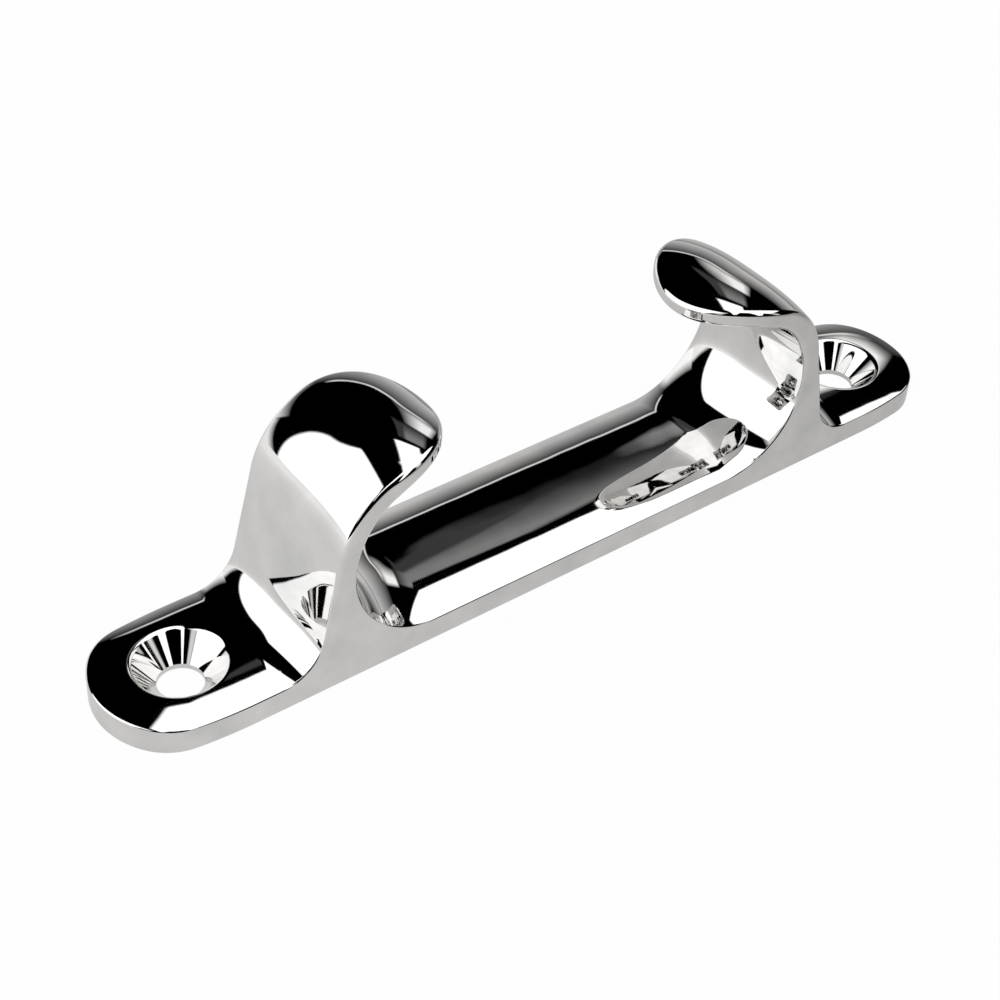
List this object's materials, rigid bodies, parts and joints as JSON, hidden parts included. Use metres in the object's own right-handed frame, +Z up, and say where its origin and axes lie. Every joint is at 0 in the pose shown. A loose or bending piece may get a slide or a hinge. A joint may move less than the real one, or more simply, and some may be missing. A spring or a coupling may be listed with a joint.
{
  "type": "straight fairlead",
  "caption": "Straight fairlead that guides a mooring line at a deck edge: a crowned bar between horns that curl over it, on a slim base with countersunk screw holes.",
  "frame": {"origin": "middle of the flat underside, midway between the screw holes", "axes": "+X along the fairlead from one screw to the other, +Y across the bar to its back, the way a line runs through, +Z up from the deck to the horns"},
  "size_m": [0.152, 0.0242, 0.0351],
  "materials": {
    "polished_stainless": "mirror-polished cast stainless steel"
  },
  "bodies": {
    "root": {"fairlead_body": "polished_stainless"}
  },
  "joints": []
}
